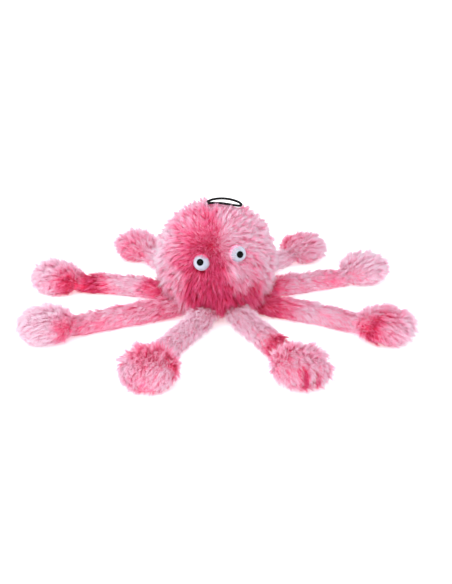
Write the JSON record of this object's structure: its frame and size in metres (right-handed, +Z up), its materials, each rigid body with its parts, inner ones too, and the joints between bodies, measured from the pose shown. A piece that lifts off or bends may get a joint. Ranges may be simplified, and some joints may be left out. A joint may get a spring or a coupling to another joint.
{
  "type": "plush octopus",
  "caption": "Shaggy pink plush octopus: a stuffed ball head with plastic eyes and a hanging loop, limp fur legs and broad stuffed feet that swing, lift and bend.",
  "frame": {"origin": "the floor point below the middle of the head, on the flat that the head rests on", "axes": "+Z up, -Y the way the face looks, +X to the right of a viewer who faces it"},
  "size_m": [0.3688, 0.3538, 0.1119],
  "materials": {
    "head_fur_left": "matte",
    "head_fur_right": "matte",
    "base_fur": "matte",
    "fibre_fill": "matte",
    "eye_white": "gloss",
    "pupil_black": "gloss",
    "washer_plastic": "satin",
    "squeaker_plastic": "satin",
    "reed_plastic": "satin",
    "loop_cord": "matte",
    "leg_fur_front_left": "matte",
    "leg_fur_front_right": "matte",
    "leg_fur_side_front_right": "matte",
    "leg_fur_side_back_right": "matte",
    "leg_fur_back_right": "matte",
    "leg_fur_back_left": "matte",
    "leg_fur_side_back_left": "matte",
    "leg_fur_side_front_left": "matte"
  },
  "bodies": {
    "head": {"head_cover_left": "head_fur_left", "head_cover_right": "head_fur_right", "head_base": "base_fur", "head_stuffing": "fibre_fill", "squeaker_bladder": "squeaker_plastic", "squeaker_reed": "reed_plastic"},
    "eye_left": {"eye_ball_left": "eye_white", "pupil_left": "pupil_black", "eye_washer_left": "washer_plastic"},
    "eye_right": {"eye_ball_right": "eye_white", "pupil_right": "pupil_black", "eye_washer_right": "washer_plastic"},
    "loop": {"hang_loop": "loop_cord"},
    "root_front_left": {"leg_root_front_left": "leg_fur_front_left"},
    "leg_front_left": {"leg_cover_front_left": "leg_fur_front_left", "leg_stuffing_front_left": "fibre_fill"},
    "foot_front_left": {"foot_cover_front_left": "leg_fur_front_left", "foot_stuffing_front_left": "fibre_fill"},
    "root_front_right": {"leg_root_front_right": "leg_fur_front_right"},
    "leg_front_right": {"leg_cover_front_right": "leg_fur_front_right", "leg_stuffing_front_right": "fibre_fill"},
    "foot_front_right": {"foot_cover_front_right": "leg_fur_front_right", "foot_stuffing_front_right": "fibre_fill"},
    "root_side_front_right": {"leg_root_side_front_right": "leg_fur_side_front_right"},
    "leg_side_front_right": {"leg_cover_side_front_right": "leg_fur_side_front_right", "leg_stuffing_side_front_right": "fibre_fill"},
    "foot_side_front_right": {"foot_cover_side_front_right": "leg_fur_side_front_right", "foot_stuffing_side_front_right": "fibre_fill"},
    "root_side_back_right": {"leg_root_side_back_right": "leg_fur_side_back_right"},
    "leg_side_back_right": {"leg_cover_side_back_right": "leg_fur_side_back_right", "leg_stuffing_side_back_right": "fibre_fill"},
    "foot_side_back_right": {"foot_cover_side_back_right": "leg_fur_side_back_right", "foot_stuffing_side_back_right": "fibre_fill"},
    "root_back_right": {"leg_root_back_right": "leg_fur_back_right"},
    "leg_back_right": {"leg_cover_back_right": "leg_fur_back_right", "leg_stuffing_back_right": "fibre_fill"},
    "foot_back_right": {"foot_cover_back_right": "leg_fur_back_right", "foot_stuffing_back_right": "fibre_fill"},
    "root_back_left": {"leg_root_back_left": "leg_fur_back_left"},
    "leg_back_left": {"leg_cover_back_left": "leg_fur_back_left", "leg_stuffing_back_left": "fibre_fill"},
    "foot_back_left": {"foot_cover_back_left": "leg_fur_back_left", "foot_stuffing_back_left": "fibre_fill"},
    "root_side_back_left": {"leg_root_side_back_left": "leg_fur_side_back_left"},
    "leg_side_back_left": {"leg_cover_side_back_left": "leg_fur_side_back_left", "leg_stuffing_side_back_left": "fibre_fill"},
    "foot_side_back_left": {"foot_cover_side_back_left": "leg_fur_side_back_left", "foot_stuffing_side_back_left": "fibre_fill"},
    "root_side_front_left": {"leg_root_side_front_left": "leg_fur_side_front_left"},
    "leg_side_front_left": {"leg_cover_side_front_left": "leg_fur_side_front_left", "leg_stuffing_side_front_left": "fibre_fill"},
    "foot_side_front_left": {"foot_cover_side_front_left": "leg_fur_side_front_left", "foot_stuffing_side_front_left": "fibre_fill"}
  },
  "joints": [
    {"name": "eye_turn_left", "type": "hinge", "parent": "head", "child": "eye_left", "pos_m": [-0.01173, -0.05021, 0.06502], "axis": [-0.1769, -0.9101, 0.3746], "continuous": true},
    {"name": "eye_turn_right", "type": "hinge", "parent": "head", "child": "eye_right", "pos_m": [0.01946, -0.04535, 0.07269], "axis": [0.286, -0.9354, 0.2079], "continuous": true},
    {"name": "loop_flop", "type": "hinge", "parent": "head", "child": "loop", "pos_m": [-0.0108, 0, 0.1041], "axis": [0, -1, 0], "range_deg": [0, 130]},
    {"name": "swing_front_left", "type": "hinge", "parent": "head", "child": "root_front_left", "pos_m": [-0.0087, -0.04092, 0.00973], "axis": [0, 0, 1], "range_deg": [-15, 15]},
    {"name": "lift_front_left", "type": "hinge", "parent": "root_front_left", "child": "leg_front_left", "pos_m": [-0.01545, -0.05922, 0.008], "axis": [-0.9373, 0.3484, 0], "range_deg": [-60, 60]},
    {"name": "ankle_front_left", "type": "hinge", "parent": "leg_front_left", "child": "foot_front_left", "pos_m": [-0.04671, -0.13719, 0.0078], "axis": [-0.9802, 0.1978, 0], "range_deg": [-60, 55]},
    {"name": "swing_front_right", "type": "hinge", "parent": "head", "child": "root_front_right", "pos_m": [0.01899, -0.03727, 0.00973], "axis": [0, 0, 1], "range_deg": [-15, 15]},
    {"name": "lift_front_right", "type": "hinge", "parent": "root_front_right", "child": "leg_front_right", "pos_m": [0.02616, -0.05544, 0.008], "axis": [-0.9286, -0.3711, 0], "range_deg": [-60, 60]},
    {"name": "ankle_front_right", "type": "hinge", "parent": "leg_front_right", "child": "foot_front_right", "pos_m": [0.06125, -0.13177, 0.0078], "axis": [-0.952, -0.306, 0], "range_deg": [-60, 55]},
    {"name": "swing_side_front_right", "type": "hinge", "parent": "head", "child": "root_side_front_right", "pos_m": [0.03931, -0.01431, 0.00973], "axis": [0, 0, 1], "range_deg": [-15, 15]},
    {"name": "lift_side_front_right", "type": "hinge", "parent": "root_side_front_right", "child": "leg_side_front_right", "pos_m": [0.05708, -0.02242, 0.008], "axis": [-0.4192, -0.9079, 0], "range_deg": [-60, 60]},
    {"name": "ankle_side_front_right", "type": "hinge", "parent": "leg_side_front_right", "child": "foot_side_front_right", "pos_m": [0.13146, -0.06145, 0.0078], "axis": [-0.571, -0.821, 0], "range_deg": [-60, 55]},
    {"name": "swing_side_back_right", "type": "hinge", "parent": "head", "child": "root_side_back_right", "pos_m": [0.03791, 0.01768, 0.00973], "axis": [0, 0, 1], "range_deg": [-15, 15]},
    {"name": "lift_side_back_right", "type": "hinge", "parent": "root_side_back_right", "child": "leg_side_back_right", "pos_m": [0.05555, 0.02608, 0.008], "axis": [0.426, -0.9047, 0], "range_deg": [-60, 60]},
    {"name": "ankle_side_back_right", "type": "hinge", "parent": "leg_side_back_right", "child": "foot_side_back_right", "pos_m": [0.13326, 0.05797, 0.0078], "axis": [0.3937, -0.9193, 0], "range_deg": [-60, 55]},
    {"name": "swing_back_right", "type": "hinge", "parent": "head", "child": "root_back_right", "pos_m": [0.02278, 0.03508, 0.00973], "axis": [0, 0, 1], "range_deg": [-15, 15]},
    {"name": "lift_back_right", "type": "hinge", "parent": "root_back_right", "child": "leg_back_right", "pos_m": [0.0309, 0.05329, 0.008], "axis": [0.9072, -0.4208, 0], "range_deg": [-60, 60]},
    {"name": "ankle_back_right", "type": "hinge", "parent": "leg_back_right", "child": "foot_back_right", "pos_m": [0.07899, 0.12218, 0.0078], "axis": [0.6975, -0.7166, 0], "range_deg": [-60, 55]},
    {"name": "swing_back_left", "type": "hinge", "parent": "head", "child": "root_back_left", "pos_m": [-0.02154, 0.03586, 0.00973], "axis": [0, 0, 1], "range_deg": [-15, 15]},
    {"name": "lift_back_left", "type": "hinge", "parent": "root_back_left", "child": "leg_back_left", "pos_m": [-0.03068, 0.05318, 0.008], "axis": [0.8814, 0.4723, 0], "range_deg": [-60, 60]},
    {"name": "ankle_back_left", "type": "hinge", "parent": "leg_back_left", "child": "foot_back_left", "pos_m": [-0.07586, 0.12399, 0.0078], "axis": [0.7963, 0.6049, 0], "range_deg": [-60, 55]},
    {"name": "swing_side_back_left", "type": "hinge", "parent": "head", "child": "root_side_back_left", "pos_m": [-0.04041, 0.01083, 0.00973], "axis": [0, 0, 1], "range_deg": [-15, 15]},
    {"name": "lift_side_back_left", "type": "hinge", "parent": "root_side_back_left", "child": "leg_side_back_left", "pos_m": [-0.05834, 0.01982, 0.008], "axis": [0.433, 0.9014, 0], "range_deg": [-60, 60]},
    {"name": "ankle_side_back_left", "type": "hinge", "parent": "leg_side_back_left", "child": "foot_side_back_left", "pos_m": [-0.13978, 0.04049, 0.0078], "axis": [0.0325, 0.9995, 0], "range_deg": [-60, 55]},
    {"name": "swing_side_front_left", "type": "hinge", "parent": "head", "child": "root_side_front_left", "pos_m": [-0.03547, -0.02217, 0.00973], "axis": [0, 0, 1], "range_deg": [-15, 15]},
    {"name": "lift_side_front_left", "type": "hinge", "parent": "root_side_front_left", "child": "leg_side_front_left", "pos_m": [-0.05326, -0.03018, 0.008], "axis": [-0.413, 0.9107, 0], "range_deg": [-60, 60]},
    {"name": "ankle_side_front_left", "type": "hinge", "parent": "leg_side_front_left", "child": "foot_side_front_left", "pos_m": [-0.12886, -0.0668, 0.0078], "axis": [-0.4291, 0.9033, 0], "range_deg": [-60, 55]}
  ]
}
